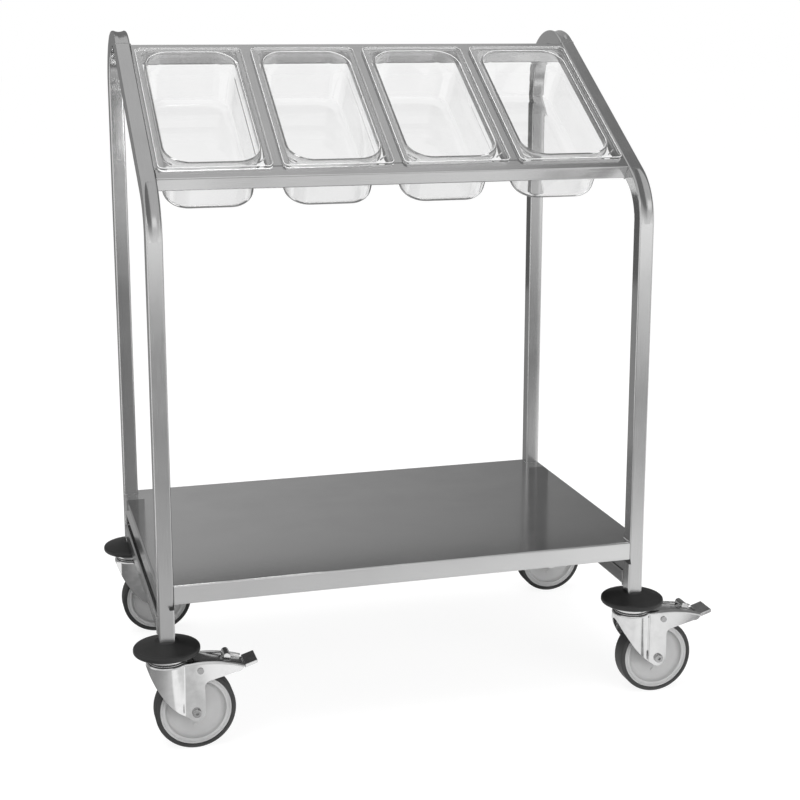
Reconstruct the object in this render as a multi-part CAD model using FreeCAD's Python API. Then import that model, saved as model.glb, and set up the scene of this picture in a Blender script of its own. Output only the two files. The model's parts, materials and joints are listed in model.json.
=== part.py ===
import FreeCAD, Part
import math
import os

# A stainless trolley on four castors: two bent side frames, a sloping top row of lift-out
# clear pans, one lower shelf. Millimetres, +Z up, the front faces -Y.
# The origin is on the floor under the middle of the whole trolley's box.

V = FreeCAD.Vector
X_AXIS = V(1, 0, 0)
Y_AXIS = V(0, 1, 0)
Z_AXIS = V(0, 0, 1)

# Sizes of the pans, a standard third-size gastronorm pan, 100 mm deep
pan_count = 4
pan_length = 325.0
pan_width = 176.0
pan_depth = 100.0
pan_wall = 3.0
pan_rim_height = 6.0
pan_rim_corner = 9.0
pan_flange = 12.0
pan_mouth_corner = 41.0
pan_taper = 5.0
pan_floor_round = 14.0
pan_gap = 15.5
pan_side_gap = 3.75
pan_seat_gap = 0.3
pan_lift_clearance = 5.0

# Sizes of the welded tube frame
tube = 25.0
tube_wall = 1.5
tube_corner = 3.0
bend_radius = 87.0
bend_dip = 2.5
bend_dip_at_ends = 0.2
slope_deg = 32.2
front_rail_to_bend = 6.5
back_rail_to_seam = 3.0
seam_to_bend = 9.0
divider_width = 34.0
divider_height = 12.0
divider_sheet = 1.5
slope_foot_above_shelf = 587.0
side_rail_above_leg_end = 8.0
side_rail_to_shelf = 28.0

# Sizes of the shelf, one sheet with its edges turned down
shelf_flange = 30.0
shelf_sheet = 1.5
shelf_bend = 3.0

# Sizes of the castors
wheel_diameter = 127.0
tyre_thickness = 7.5
tyre_width = 32.0
tyre_shoulder = 5.0
tyre_step = 1.0
rim_width = 28.0
rim_thickness = 8.5
rim_round = 1.5
rim_groove_width = 1.2
rim_groove_depth = 0.6
web_thickness = 9.0
dish_run = 7.0
hub_radius = 15.0
hub_end_gap = 0.5
mould_dot_radius = 4.2
mould_dot_height = 1.2
mould_dot_from_axle = 29.0
trail = 41.0
wheel_head_room = 17.5
fork_sheet = 2.5
fork_side_gap = 5.5
fork_round_radius = 33.0
fork_crease_round = 5.0
fork_top_round = 5.0
fork_tip_radius = 14.0
fork_edge_bow = 10.0
fork_edge_start = 2.0
fork_tip_start_deg = 230.0
fork_plate_reach = 38.0
fork_shoulder_round = 9.0
swivel_gap = 0.3
running_clearance = 0.05
kingpin_radius = 10.0
kingpin_flange_radius = 15.0
kingpin_flange = 4.0
cap_radius = 31.0
cap_height = 12.7
cap_round = 5.0
bumper_radius = 52.0
bumper_height = 19.0
bumper_rim = 10.0
bumper_round = 4.0
bumper_seat_margin = 0.8

# Sizes of the fasteners
castor_bolt_radius = 6.0
castor_bolt_flats = 19.0
castor_bolt_head = 7.5
insert_height = 35.0
bolt_clearance = 0.1
axle_radius = 4.0
axle_head_radius = 7.5
axle_head = 5.0
axle_socket_flats = 5.0
axle_socket_depth = 3.0
axle_nut_flats = 13.0
axle_nut_height = 6.5
axle_tail = 2.0
sleeve_radius = 6.0

# Sizes of the foot brake on the two front castors
horn_root_above_axle = 48.5
horn_reach = 117.5
horn_crown_x = 48.0
horn_tip_drop = 11.5
horn_tip_width = 3.5
horn_nose_length = 13.5
horn_nose_height = 8.0
horn_lip = 3.0
pivot_x = 48.5
pivot_below_top = 15.0
pivot_radius = 3.0
pivot_head_radius = 5.0
pivot_head = 2.0
pedal_side_gap = 1.0
pedal_sheet = 2.5
pedal_ear = 5.5
pedal_tail = 9.0
pedal_drop = 0.5
pedal_end_drop = 16.0
nub_x = 86.0
nub_length = 12.0
nub_width = 26.0
nub_height = 18.0
pad_gap = 1.5
pad_length = 20.0
pad_width = 40.0
pad_thickness = 6.0
pad_below_arm = 3.5
pad_tilt_deg = 17.0
pedal_edge_round = 1.2
shoe_start = 57.0
shoe_length = 18.0
shoe_width = 24.0
shoe_tyre_gap = 5.4

# Places worked out from the sizes: the castor, from the floor up
wheel_radius = wheel_diameter / 2
axle_z = wheel_radius
tyre_inner = wheel_radius - tyre_thickness
fork_inner = tyre_width / 2 + fork_side_gap
fork_outer = fork_inner + fork_sheet
fork_plate_z = wheel_diameter + wheel_head_room
fork_top = fork_plate_z + fork_sheet
cap_bottom = fork_top + swivel_gap
cap_top = cap_bottom + cap_height
leg_end = cap_top + bumper_height
kingpin_flange_top = fork_plate_z - swivel_gap
kingpin_end = kingpin_flange_top - kingpin_flange
pivot_z = fork_top - pivot_below_top
horn_tip_z = fork_top - horn_tip_drop
horn_slot = fork_inner - horn_lip
pad_start = horn_reach + pad_gap
pad_end = pad_start + pad_length

# How level an edge has to be to count as level
flat_tolerance = 0.01

# Places worked out from the sizes: the frame
slope = math.radians(slope_deg)
outer_bend = bend_radius + tube / 2
front_turn = 90.0 - slope_deg
back_turn = 90.0 + slope_deg
front_tangent = outer_bend * math.tan(math.radians(front_turn / 2))
back_tangent = outer_bend * math.tan(math.radians(back_turn / 2))
pan_ledge = tube - pan_flange + pan_lift_clearance
front_rail_s = front_tangent + front_rail_to_bend
pan_s = front_rail_s + pan_ledge
back_rail_end = pan_s + pan_length + pan_ledge
back_rail_s = back_rail_end - tube
seam_s = back_rail_end + back_rail_to_seam
bend_s = seam_s + seam_to_bend
depth = (bend_s + back_tangent) * math.cos(slope)
pan_pitch = pan_width + pan_gap
ledge_width = pan_side_gap + (divider_width - pan_gap) / 2
inner_width = pan_count * pan_width + (pan_count - 1) * pan_gap + 2 * pan_side_gap
width = inner_width + 2 * tube
front_y = -depth / 2
back_y = depth / 2
leg_x = width / 2 - tube / 2
leg_y = depth / 2 - tube / 2
side_rail_z = leg_end + side_rail_above_leg_end
shelf_top = side_rail_z + tube + side_rail_to_shelf + shelf_flange
slope_foot_z = shelf_top + slope_foot_above_shelf
bend_foot_z = slope_foot_z - front_tangent
bend_head_z = slope_foot_z + depth * math.tan(slope) - back_tangent

# The brake pads reach past the right bumpers, so the frame stands left of the box's middle
origin_shift = V((bumper_radius - pad_end) / 2, 0, 0)

sides = {"left": -1, "right": 1}
corners = {
    "front_left": (-1, -1),
    "front_right": (1, -1),
    "back_left": (-1, 1),
    "back_right": (1, 1),
}
brakes = ("front_left", "front_right")

os.makedirs("parts", exist_ok=True)


def save(name, shape):
    """Write one piece in the trolley's own frame."""
    piece = shape.copy()
    piece.translate(origin_shift)
    piece.exportStep("parts/" + name + ".step")


def one_solid(shape):
    """The single clean solid of a finished piece."""
    return shape.removeSplitter().Solids[0]


def rounded_rectangle(length_x, length_y, radius, z=0.0):
    """A closed wire round the Z axis."""
    hx = length_x / 2
    hy = length_y / 2
    diagonal = radius * (1 - math.sqrt(0.5))
    edges = []
    ring = [(hx, hy, 1, 1), (-hx, hy, -1, 1), (-hx, -hy, -1, -1), (hx, -hy, 1, -1)]
    for index, (x, y, sx, sy) in enumerate(ring):
        along_x = V(x - sx * radius, y, z)
        along_y = V(x, y - sy * radius, z)
        middle = V(x - sx * diagonal, y - sy * diagonal, z)
        first, last = (along_y, along_x) if index % 2 == 0 else (along_x, along_y)
        if edges:
            edges.append(Part.LineSegment(edges[-1].valueAt(edges[-1].LastParameter), first).toShape())
        edges.append(Part.Arc(first, middle, last).toShape())
    start = edges[0].valueAt(edges[0].FirstParameter)
    end = edges[-1].valueAt(edges[-1].LastParameter)
    edges.append(Part.LineSegment(end, start).toShape())
    return Part.Wire(edges)


def prism(length_x, length_y, radius, bottom, top):
    """A rounded rectangle from one height to another."""
    wire = rounded_rectangle(length_x, length_y, radius, bottom)
    return Part.Face(wire).extrude(V(0, 0, top - bottom))


def closed_wire(points):
    """Straight lines between points; a point given as a pair with a middle point is reached by an arc."""
    edges = []
    start = points[0]
    last = start
    for step in points[1:] + [start]:
        if isinstance(step, tuple):
            middle, end = step
            edges.append(Part.Arc(last, middle, end).toShape())
        else:
            end = step
            edges.append(Part.LineSegment(last, end).toShape())
        last = end
    return Part.Wire(edges)


def turned(points):
    """A solid turned round the Z axis from a half section in X and Z."""
    return Part.Face(closed_wire(points)).revolve(V(0, 0, 0), Z_AXIS, 360)


def plate(points, half_width):
    """An outline in X and Z, made thick along Y about the middle plane."""
    face = Part.Face(closed_wire(points))
    face.translate(V(0, -half_width, 0))
    return face.extrude(V(0, 2 * half_width, 0))


def rod(radius, y_from, y_to, x, z):
    """A round bar along Y."""
    return Part.makeCylinder(radius, y_to - y_from, V(x, y_from, z), Y_AXIS)


def hexagon(flats, height):
    """A hexagonal bar standing on the origin."""
    corner = flats / math.sqrt(3)
    points = []
    for k in range(6):
        turn = math.radians(60 * k)
        points.append(V(corner * math.cos(turn), corner * math.sin(turn), 0))
    return Part.Face(closed_wire(points)).extrude(V(0, 0, height))


def corner_arc(before, corner, after, radius):
    """The start and the arc that round a corner between two straight runs."""
    to_before = (before - corner).normalize()
    to_after = (after - corner).normalize()
    half = to_before.getAngle(to_after) / 2
    run = radius / math.tan(half)
    start = corner + to_before * run
    end = corner + to_after * run
    inward = (to_before + to_after).normalize()
    middle = corner + inward * (radius / math.sin(half) - radius)
    return start, (middle, end)


# The frame's square tube
tube_bore = tube - 2 * tube_wall
tube_bore_corner = tube_corner - tube_wall


def bar_section(inset):
    """The tube's outline round the Z axis, or its bore when inset by the wall."""
    size = tube - 2 * inset
    return Part.Face(rounded_rectangle(size, size, tube_corner - inset))


def tube_section():
    """The tube's cut face round the Z axis."""
    return bar_section(0).cut(bar_section(tube_wall)).Faces[0]


def on_slope(shape):
    """Carry a shape from the slope's own frame, Y up the slope and Z out of it, to its place."""
    placed = shape.copy()
    placed.rotate(V(0, 0, 0), X_AXIS, slope_deg)
    placed.translate(V(0, front_y, slope_foot_z))
    return placed


def section_on_slope(inset, s):
    """The tube's outline square to the slope, with the tube's upper side in the slope's face."""
    face = bar_section(inset)
    face.rotate(V(0, 0, 0), X_AXIS, -90)
    face.translate(V(0, s, -tube / 2))
    return face


def bend_groove(centre, middle_deg, turn_deg, inset):
    """A ring that presses the tube's outer side in along a bend, deepest at the middle of the turn."""
    flat = tube - 2 * tube_corner
    curve = (flat * flat / 4 + bend_dip * bend_dip) / (2 * bend_dip)
    back = (bend_dip - bend_dip_at_ends) / (1 - math.cos(math.radians(turn_deg / 2)))
    middle = math.radians(middle_deg)
    ring_centre = centre - V(0, math.cos(middle), math.sin(middle)) * back
    return Part.makeTorus(outer_bend - bend_dip + curve + back, curve + inset, ring_centre, X_AXIS)


def front_bar(inset):
    """Front leg, lower bend and slope as one bar."""
    foot = bar_section(inset)
    foot.translate(V(0, front_y + tube / 2, leg_end))
    leg = foot.extrude(V(0, 0, bend_foot_z - leg_end))
    bend_start = bar_section(inset)
    bend_start.translate(V(0, front_y + tube / 2, bend_foot_z))
    centre = V(0, front_y + outer_bend, bend_foot_z)
    bend = bend_start.revolve(centre, -X_AXIS, front_turn)
    bend = bend.cut(bend_groove(centre, 180 - front_turn / 2, front_turn, inset))
    slope_run = on_slope(section_on_slope(inset, front_tangent).extrude(V(0, seam_s - front_tangent, 0)))
    return leg.fuse([bend, slope_run])


def back_bar(inset):
    """Upper bend and back leg as one bar, with a short straight where it joins the slope."""
    start = on_slope(section_on_slope(inset, seam_s).extrude(V(0, seam_to_bend, 0)))
    centre = on_slope(Part.Vertex(0, bend_s, -outer_bend)).Point
    bend = on_slope(section_on_slope(inset, bend_s)).revolve(centre, -X_AXIS, back_turn)
    bend = bend.cut(bend_groove(centre, back_turn / 2, back_turn, inset))
    foot = bar_section(inset)
    foot.translate(V(0, back_y - tube / 2, leg_end))
    leg = foot.extrude(V(0, 0, bend_head_z - leg_end))
    return start.fuse([bend, leg])


def front_tube():
    """Front leg, lower bend and slope, bent from one length of tube."""
    return one_solid(front_bar(0).cut(front_bar(tube_wall)))


def back_tube():
    """Upper bend and back leg, welded to the slope's upper end."""
    return one_solid(back_bar(0).cut(back_bar(tube_wall)))


def cross_rail(s):
    """A tube between the two slopes, its upper side in the slope's face."""
    face = tube_section()
    face.rotate(V(0, 0, 0), Y_AXIS, 90)
    face.translate(V(-inner_width / 2, s + tube / 2, -tube / 2))
    return on_slope(face.extrude(V(inner_width, 0, 0)))


def side_rail():
    """A tube between the front and back legs of one side, under the shelf."""
    face = tube_section()
    face.rotate(V(0, 0, 0), X_AXIS, -90)
    face.translate(V(0, front_y + tube, side_rail_z + tube / 2))
    return face.extrude(V(0, depth - 2 * tube, 0))


def slope_bar(left, right, open_left, open_right):
    """Folded sheet between the two cross rails, its sides turned down from x = left to x = right."""
    run_start = front_rail_s + tube
    run = back_rail_s - run_start
    outside = Part.makeBox(right - left, run, divider_height, V(left, run_start, -divider_height))
    bore = open_right - open_left
    inside = Part.makeBox(bore, run, divider_height, V(open_left, run_start, -divider_height - divider_sheet))
    return on_slope(outside.cut(inside))


def divider():
    """A channel open downwards, which carries the rims of the pans on both sides of it."""
    side = divider_width / 2
    return slope_bar(-side, side, divider_sheet - side, side - divider_sheet)


def ledge(sx):
    """An angle on the inner side of one slope tube, which carries the rim of the outermost pan."""
    outer = sx * inner_width / 2
    edge = outer - sx * ledge_width
    left, right = sorted((outer, edge))
    open_left, open_right = sorted((outer, edge + sx * divider_sheet))
    return slope_bar(left, right, open_left, open_right)


def shelf():
    """One sheet with four turned-down edges, notched round the legs."""
    bottom = shelf_top - shelf_flange
    outside = Part.makeBox(width, depth, shelf_flange, V(-width / 2, front_y, bottom))
    rim = [e for e in outside.Edges if e.BoundBox.ZMin > shelf_top - shelf_bend]
    outside = outside.makeFillet(shelf_bend, rim)
    inner_x = width - 2 * shelf_sheet
    inner_y = depth - 2 * shelf_sheet
    inner_corner = V(-inner_x / 2, -inner_y / 2, bottom - shelf_sheet)
    inside = Part.makeBox(inner_x, inner_y, shelf_flange, inner_corner)
    sheet_under = shelf_top - shelf_sheet
    rim = [e for e in inside.Edges if e.BoundBox.ZMin > sheet_under - shelf_sheet]
    inside = inside.makeFillet(shelf_bend - shelf_sheet, rim)
    sheet = outside.cut(inside)
    for sx, sy in corners.values():
        leg_corner = V(sx * leg_x - tube / 2, sy * leg_y - tube / 2, bottom)
        sheet = sheet.cut(Part.makeBox(tube, tube, shelf_flange, leg_corner))
    return one_solid(sheet)


for side, sx in sides.items():
    pieces = {"front_tube": front_tube(), "back_tube": back_tube(), "side_rail": side_rail()}
    for name, shape in pieces.items():
        shape.translate(V(sx * leg_x, 0, 0))
        save(side + "_" + name, shape)
    save(side + "_ledge", ledge(sx))

save("front_rail", cross_rail(front_rail_s))
save("back_rail", cross_rail(back_rail_s))
save("shelf", shelf())

for k in range(pan_count - 1):
    bar = divider()
    bar.translate(V((k + 1 - pan_count / 2) * pan_pitch, 0, 0))
    save("divider_%d" % (k + 1), bar)


def pan_body(wall, floor):
    """The tapering tub, drawn in by the wall thickness, with a rounded floor edge."""
    top_x = pan_width - 2 * pan_flange - 2 * wall
    top_y = pan_length - 2 * pan_flange - 2 * wall
    corner = pan_mouth_corner - wall
    mouth = rounded_rectangle(top_x, top_y, corner, pan_rim_height)
    foot = rounded_rectangle(top_x - 2 * pan_taper, top_y - 2 * pan_taper, corner - pan_taper / 2, floor)
    tub = Part.makeLoft([foot, mouth], True, True)
    floor_edges = [e for e in tub.Edges if e.BoundBox.ZMax < floor + pan_wall / 2]
    return tub.makeFillet(pan_floor_round - wall, floor_edges)


def pan():
    """A clear moulded pan that hangs by the skirt round its rim."""
    floor = pan_rim_height - pan_depth
    rim = prism(pan_width, pan_length, pan_rim_corner, pan_seat_gap, pan_rim_height)
    skirt_x = pan_width - 2 * pan_wall
    skirt_y = pan_length - 2 * pan_wall
    skirt_corner = pan_rim_corner - pan_wall
    under = prism(skirt_x, skirt_y, skirt_corner, pan_seat_gap, pan_rim_height - pan_wall)
    shell = rim.cut(under).fuse(pan_body(0, floor))
    shell = shell.cut(pan_body(pan_wall, floor + pan_wall))
    shell.translate(V(0, pan_s + pan_length / 2, 0))
    return on_slope(one_solid(shell))


for k in range(pan_count):
    tub = pan()
    tub.translate(V((k - (pan_count - 1) / 2) * pan_pitch, 0, 0))
    save("pan_%d" % (k + 1), tub)


# The castors, each about its own swivel axis with the wheel trailing to +X
def bumper():
    """A rubber disc between the leg and the swivel, its upper side sloping up to the leg."""
    hole = castor_bolt_radius + bolt_clearance
    seat = tube * math.sqrt(0.5) + bumper_seat_margin
    rim_top = cap_top + bumper_rim
    inner = bumper_radius - bumper_round
    bulge = bumper_round * math.sqrt(0.5)
    low = cap_top + bumper_round
    high = rim_top - bumper_round
    return turned([
        V(hole, 0, cap_top),
        V(inner, 0, cap_top),
        (V(inner + bulge, 0, low - bulge), V(bumper_radius, 0, low)),
        V(bumper_radius, 0, high),
        (V(inner + bulge, 0, high + bulge), V(inner, 0, rim_top)),
        V(seat, 0, leg_end),
        V(hole, 0, leg_end),
    ])


def swivel_cap():
    """The fixed half of the swivel: a cap, and a hollow kingpin riveted over under the fork."""
    hole = castor_bolt_radius + bolt_clearance
    bulge = cap_round * (1 - math.sqrt(0.5))
    return turned([
        V(hole, 0, kingpin_end),
        V(kingpin_flange_radius, 0, kingpin_end),
        V(kingpin_flange_radius, 0, kingpin_flange_top),
        V(kingpin_radius, 0, kingpin_flange_top),
        V(kingpin_radius, 0, cap_bottom),
        V(cap_radius - cap_round, 0, cap_bottom),
        (V(cap_radius - bulge, 0, cap_bottom + bulge), V(cap_radius, 0, cap_bottom + cap_round)),
        V(cap_radius, 0, cap_top),
        V(hole, 0, cap_top),
    ])


def castor_bolt():
    """The bolt that pulls the castor and its bumper up into the leg."""
    head = hexagon(castor_bolt_flats, castor_bolt_head)
    head.translate(V(0, 0, kingpin_end - castor_bolt_head))
    length = leg_end + insert_height - kingpin_end
    shank = Part.makeCylinder(castor_bolt_radius, length, V(0, 0, kingpin_end))
    return one_solid(head.fuse(shank))


def leg_insert():
    """A threaded plug pressed into the foot of a leg."""
    block = prism(tube_bore, tube_bore, tube_bore_corner, leg_end, leg_end + insert_height)
    thread = Part.makeCylinder(castor_bolt_radius + bolt_clearance, insert_height, V(0, 0, leg_end))
    return block.cut(thread)


def fork_plan(inset):
    """The fork seen from above: a round about the swivel, eased into two flat sides."""
    radius = fork_round_radius - inset
    half = fork_outer - inset
    ease = fork_crease_round + inset
    ease_y = half + ease
    ease_x = math.sqrt((radius + ease) ** 2 - ease_y ** 2)
    on_round = V(ease_x, ease_y, 0) * (radius / (radius + ease))
    inward = (V(-ease_x, -ease_y, 0).normalize() - Y_AXIS).normalize()
    middle = V(ease_x, ease_y, 0) + inward * ease
    return closed_wire([
        V(pad_end, -half, 0),
        V(pad_end, half, 0),
        V(ease_x, half, 0),
        (middle, on_round),
        (V(-radius, 0, 0), V(on_round.x, -on_round.y, 0)),
        (V(middle.x, -middle.y, 0), V(ease_x, -half, 0)),
    ])


def crown_radius():
    """Radius of the arch along the horns, level where it leaves the top plate."""
    run = horn_reach - horn_crown_x
    return (run ** 2 + horn_tip_drop ** 2) / (2 * horn_tip_drop)


def under_crown(inset):
    """All that lies under the arch of the horns, seen from the side."""
    radius = crown_radius()
    centre = V(horn_crown_x, 0, fork_top - radius)
    back = -fork_round_radius - fork_edge_start
    turn = math.asin((pad_end - horn_crown_x) / radius)
    over_end = centre + V(math.sin(turn), 0, math.cos(turn)) * (radius - inset)
    half_way = centre + V(math.sin(turn / 2), 0, math.cos(turn / 2)) * (radius - inset)
    level = centre.z + radius - inset
    crown = (half_way, V(horn_crown_x, 0, level))
    return [V(back, 0, 0), V(over_end.x, 0, 0), over_end, crown, V(back, 0, level)]


def fork_block(inset, with_horn):
    """The fork's plan carried up from the floor, with its upper edge rounded."""
    block = Part.Face(fork_plan(inset)).extrude(V(0, 0, fork_top - inset))
    if with_horn:
        block = one_solid(block.common(plate(under_crown(inset), fork_round_radius)))
    top_edges = [e for e in block.Edges if e.BoundBox.ZMin > fork_top - inset - flat_tolerance]
    back_edge = min(top_edges, key=lambda e: e.BoundBox.XMin)
    return block.makeFillet(fork_top_round - inset, [back_edge])


def fork_outline(with_horn):
    """The fork seen from the side, from its round back down to the axle and up again."""
    start = V(-fork_round_radius - fork_edge_start, 0, fork_top)
    turn = math.radians(fork_tip_start_deg)
    tip = V(trail + fork_tip_radius * math.cos(turn), 0, axle_z + fork_tip_radius * math.sin(turn))
    chord = tip - start
    bow = V(chord.z, 0, -chord.x).normalize() * fork_edge_bow
    tip_low = V(trail + fork_tip_radius * math.sqrt(0.5), 0, axle_z - fork_tip_radius * math.sqrt(0.5))
    tip_right = V(trail + fork_tip_radius, 0, axle_z)
    points = [start, (start + chord * 0.5 + bow, tip), (tip_low, tip_right)]
    shoulder = V(fork_plate_reach, 0, fork_top)
    if with_horn:
        root = V(tip_right.x, 0, axle_z + horn_root_above_axle)
        nose_top = V(horn_reach, 0, horn_tip_z - horn_tip_width)
        nose = V(horn_reach - horn_nose_length, 0, nose_top.z - horn_nose_height)
        bulge = V(horn_nose_length * math.sqrt(0.5), 0, horn_nose_height * (1 - math.sqrt(0.5)))
        points.extend(corner_arc(tip_right, root, nose, fork_shoulder_round))
        points.append(nose)
        points.append((nose + bulge, nose_top))
        points.append(V(horn_reach, 0, fork_top))
    else:
        points.extend(corner_arc(tip_right, V(tip_right.x, 0, fork_top), shoulder, fork_shoulder_round))
        points.append(shoulder)
    return points


def fork(with_horn):
    """A pressed steel fork: a top plate, a round back and two sides drawn down to the axle."""
    shell = fork_block(0, with_horn).cut(fork_block(fork_sheet, with_horn))
    shell = shell.common(plate(fork_outline(with_horn), fork_round_radius))
    past_plate = V(fork_plate_reach, -horn_slot, axle_z)
    shell = shell.cut(Part.makeBox(pad_end, 2 * horn_slot, fork_top - axle_z, past_plate))
    swivel_hole = Part.makeCylinder(kingpin_radius + running_clearance, fork_top)
    axle_hole = rod(axle_radius + bolt_clearance, -fork_outer, fork_outer, trail, axle_z)
    shell = shell.cut(swivel_hole).cut(axle_hole)
    if with_horn:
        shell = shell.cut(rod(pivot_radius + bolt_clearance, -fork_outer, fork_outer, pivot_x, pivot_z))
    return one_solid(shell)


def axle_bolt():
    """The wheel's axle, a button-headed bolt with a hexagon socket."""
    head = rod(axle_head_radius, -fork_outer - axle_head, -fork_outer, trail, axle_z)
    face_edges = [e for e in head.Edges if e.BoundBox.YMax < -fork_outer - axle_head / 2]
    head = head.makeFillet(axle_head / 2, face_edges)
    end = fork_outer + axle_nut_height + axle_tail
    shank = rod(axle_radius, -fork_outer, end, trail, axle_z)
    socket = hexagon(axle_socket_flats, axle_socket_depth)
    socket.rotate(V(0, 0, 0), X_AXIS, -90)
    socket.translate(V(trail, -fork_outer - axle_head, axle_z))
    return one_solid(head.fuse(shank).cut(socket))


def axle_nut():
    """The nut on the axle's far end."""
    nut = hexagon(axle_nut_flats, axle_nut_height)
    nut.rotate(V(0, 0, 0), X_AXIS, -90)
    nut.translate(V(trail, fork_outer, axle_z))
    nut_end = fork_outer + axle_nut_height
    return nut.cut(rod(axle_radius + bolt_clearance, fork_outer, nut_end, trail, axle_z))


def axle_sleeve():
    """The tube clamped between the fork's sides that the wheel turns on."""
    outside = rod(sleeve_radius, -fork_inner, fork_inner, trail, axle_z)
    return outside.cut(rod(axle_radius + bolt_clearance, -fork_inner, fork_inner, trail, axle_z))


def on_axle(shape):
    """Carry a shape turned round the Z axis to the wheel's axle."""
    shape.rotate(V(0, 0, 0), X_AXIS, 90)
    shape.translate(V(trail, 0, axle_z))
    return shape


def wheel_centre():
    """A moulded wheel centre: hub, web, and a rim that the web dishes up to."""
    bore = sleeve_radius + running_clearance
    hub_end = fork_inner - hub_end_gap
    web = web_thickness / 2
    face = rim_width / 2
    rim_inner = tyre_inner - rim_thickness
    dish_start = rim_inner - dish_run
    lip = face - rim_round
    sag_r = rim_inner - dish_run * (1 - math.sqrt(0.5))
    sag_z = web + (lip - web) * (1 - math.sqrt(0.5))
    bulge = rim_round * (1 - math.sqrt(0.5))
    groove = (rim_inner + rim_round + tyre_inner) / 2
    half_groove = rim_groove_width / 2
    centre = turned([
        V(bore, 0, -hub_end),
        V(hub_radius, 0, -hub_end),
        V(hub_radius, 0, -web),
        V(dish_start, 0, -web),
        (V(sag_r, 0, -sag_z), V(rim_inner, 0, -lip)),
        (V(rim_inner + bulge, 0, bulge - face), V(rim_inner + rim_round, 0, -face)),
        V(groove - half_groove, 0, -face),
        V(groove, 0, rim_groove_depth - face),
        V(groove + half_groove, 0, -face),
        V(tyre_inner, 0, -face),
        V(tyre_inner, 0, face),
        V(groove + half_groove, 0, face),
        V(groove, 0, face - rim_groove_depth),
        V(groove - half_groove, 0, face),
        V(rim_inner + rim_round, 0, face),
        (V(rim_inner + bulge, 0, face - bulge), V(rim_inner, 0, lip)),
        (V(sag_r, 0, sag_z), V(dish_start, 0, web)),
        V(hub_radius, 0, web),
        V(hub_radius, 0, hub_end),
        V(bore, 0, hub_end),
    ])
    dot = Part.makeCylinder(mould_dot_radius, web + mould_dot_height, V(0, -mould_dot_from_axle, 0))
    return on_axle(one_solid(centre.fuse(dot)))


def tyre():
    """A rubber tyre moulded on the rim, with round shoulders."""
    half = tyre_width / 2
    inner = tyre_inner + tyre_step
    shoulder = wheel_radius - tyre_shoulder + tyre_step
    flat = half - tyre_shoulder
    bulge_r = shoulder + (wheel_radius - shoulder) * math.sqrt(0.5)
    bulge_z = flat + tyre_shoulder * math.sqrt(0.5)
    edge = rim_width / 2
    return on_axle(turned([
        V(tyre_inner, 0, -edge),
        V(inner, 0, -half),
        V(shoulder, 0, -half),
        (V(bulge_r, 0, -bulge_z), V(wheel_radius, 0, -flat)),
        V(wheel_radius, 0, flat),
        (V(bulge_r, 0, bulge_z), V(shoulder, 0, half)),
        V(inner, 0, half),
        V(tyre_inner, 0, edge),
    ]))


def pedal_line(x):
    """Height of the pedal's upper side, which falls with the horns towards their tips."""
    share = (x - pivot_x) / (pad_start - pivot_x)
    return fork_top - pedal_drop - share * pedal_end_drop


def pedal():
    """The brake pedal: an arm between the horns, ears on the pivot, a release nub and an end pad."""
    half = horn_slot - pedal_side_gap
    tail = pivot_x - pedal_tail
    arm = plate([
        V(tail, 0, pedal_line(pivot_x)),
        V(pivot_x, 0, pedal_line(pivot_x)),
        V(pad_start, 0, pedal_line(pad_start)),
        V(pad_start, 0, pedal_line(pad_start) - pedal_sheet),
        V(pivot_x, 0, pedal_line(pivot_x) - pedal_sheet),
        V(tail, 0, pedal_line(pivot_x) - pedal_sheet),
    ], half)
    ear_top = pedal_line(pivot_x) - pedal_sheet / 2
    ears = rod(pedal_ear, -half, half, pivot_x, pivot_z)
    ear_corner = V(pivot_x - pedal_ear, -half, pivot_z)
    ears = ears.fuse(Part.makeBox(2 * pedal_ear, 2 * half, ear_top - pivot_z, ear_corner))
    gap = half - pedal_sheet
    gap_corner = V(pivot_x - pedal_ear, -gap, pivot_z - pedal_ear)
    ears = ears.cut(Part.makeBox(2 * pedal_ear, 2 * gap, ear_top - pivot_z + pedal_ear, gap_corner))
    nub_base = pedal_line(nub_x + nub_length) - pedal_sheet / 2
    nub_top = nub_base + nub_height
    nub = plate([
        V(nub_x, 0, nub_base),
        V(nub_x + nub_length, 0, nub_base),
        V(nub_x + nub_length, 0, nub_top - nub_length / 2),
        (V(nub_x + nub_length / 2, 0, nub_top), V(nub_x, 0, nub_top - nub_length / 2)),
    ], nub_width / 2)
    end_edges = [e for e in nub.Edges if e.BoundBox.YLength < flat_tolerance]
    face_edges = [e for e in end_edges if e.BoundBox.ZMax > nub_base + pedal_sheet]
    nub = nub.makeFillet(pedal_edge_round, face_edges)
    pad_base = pedal_line(pad_start) - pad_below_arm
    pad_end_base = pad_base + pad_length * math.tan(math.radians(pad_tilt_deg))
    pad = plate([
        V(pad_start, 0, pad_base),
        V(pad_end, 0, pad_end_base),
        V(pad_end, 0, pad_end_base + pad_thickness),
        V(pad_start, 0, pad_base + pad_thickness),
    ], pad_width / 2)
    pad = pad.makeFillet(pedal_edge_round, pad.Edges)
    lever = arm.fuse([ears, nub, pad])
    lever = lever.cut(rod(pivot_radius + running_clearance, -fork_outer, fork_outer, pivot_x, pivot_z))
    return one_solid(lever)


def pedal_pivot():
    """The rivet through both horns that the pedal rocks on."""
    pin = rod(pivot_radius, -fork_outer, fork_outer, pivot_x, pivot_z)
    near = rod(pivot_head_radius, -fork_outer - pivot_head, -fork_outer, pivot_x, pivot_z)
    far = rod(pivot_head_radius, fork_outer, fork_outer + pivot_head, pivot_x, pivot_z)
    return one_solid(pin.fuse([near, far]))


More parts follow.
